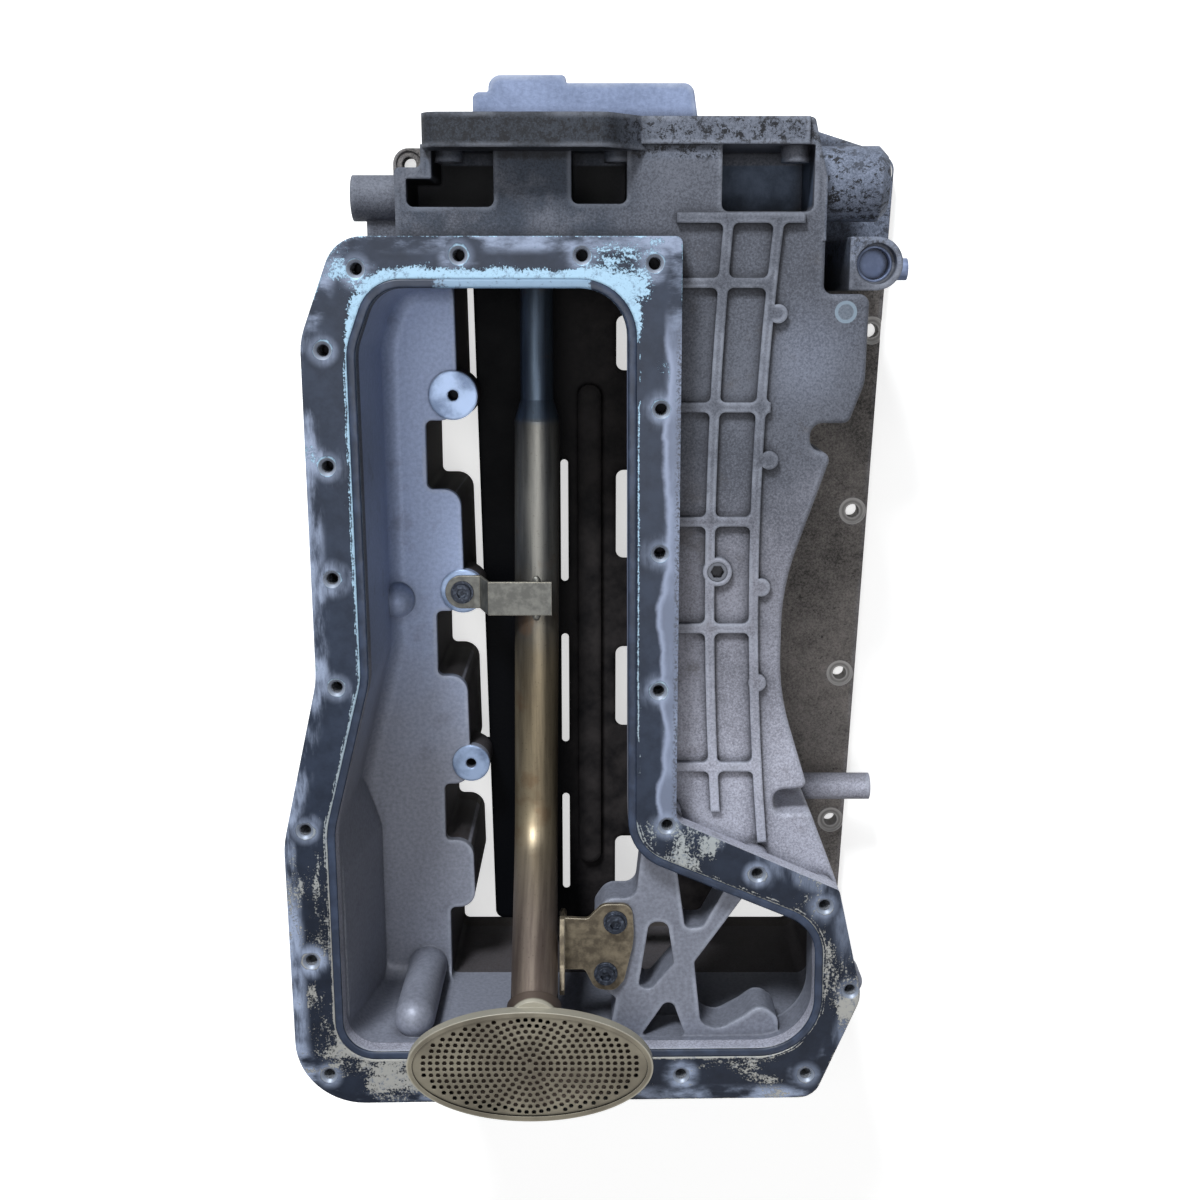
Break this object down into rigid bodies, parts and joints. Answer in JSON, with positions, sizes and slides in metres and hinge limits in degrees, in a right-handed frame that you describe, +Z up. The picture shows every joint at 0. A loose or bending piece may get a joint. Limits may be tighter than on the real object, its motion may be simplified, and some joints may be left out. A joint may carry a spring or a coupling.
{
  "type": "engine upper oil pan",
  "caption": "Cast upper oil pan with sump flange, ribbed plate, block rail, windage tray and strapped pickup tube with an oval strainer.",
  "frame": {"origin": "middle of the base of the bounding box, on the plane of the block rail", "axes": "+Z up from the block rail to the sump flange, +Y along the pan to the end flange, +X across it"},
  "size_m": [0.3866, 0.6175, 0.2412],
  "materials": {
    "cast_alloy": "dull cast, machined faces",
    "tray_black": "black coated sheet",
    "tube_steel": "tarnished drawn tube",
    "bracket_steel": "olive zinc plate",
    "strainer_steel": "satin pressed sheet",
    "plug_steel": "plain steel",
    "bolt_black": "phosphated",
    "seal_rubber": "matte",
    "sealant": "cured bead"
  },
  "bodies": {
    "root": {"pan_casting": "cast_alloy", "windage_tray": "tray_black", "pickup_tube": "tube_steel", "tube_o_ring": "seal_rubber", "tube_strap": "bracket_steel", "tube_bracket": "bracket_steel", "strainer_housing": "strainer_steel", "strainer_screen": "strainer_steel", "gallery_cup_plug": "plug_steel", "gallery_side_plug": "plug_steel", "plate_socket_plug": "plug_steel", "sealant_bead": "sealant", "strap_bolt": "bolt_black", "bracket_bolt_far": "bolt_black", "bracket_bolt_near": "bolt_black", "tray_screw_1": "bolt_black", "tray_screw_2": "bolt_black", "tray_screw_3": "bolt_black", "tray_screw_4": "bolt_black", "tray_screw_5": "bolt_black", "tray_screw_6": "bolt_black"}
  },
  "joints": []
}
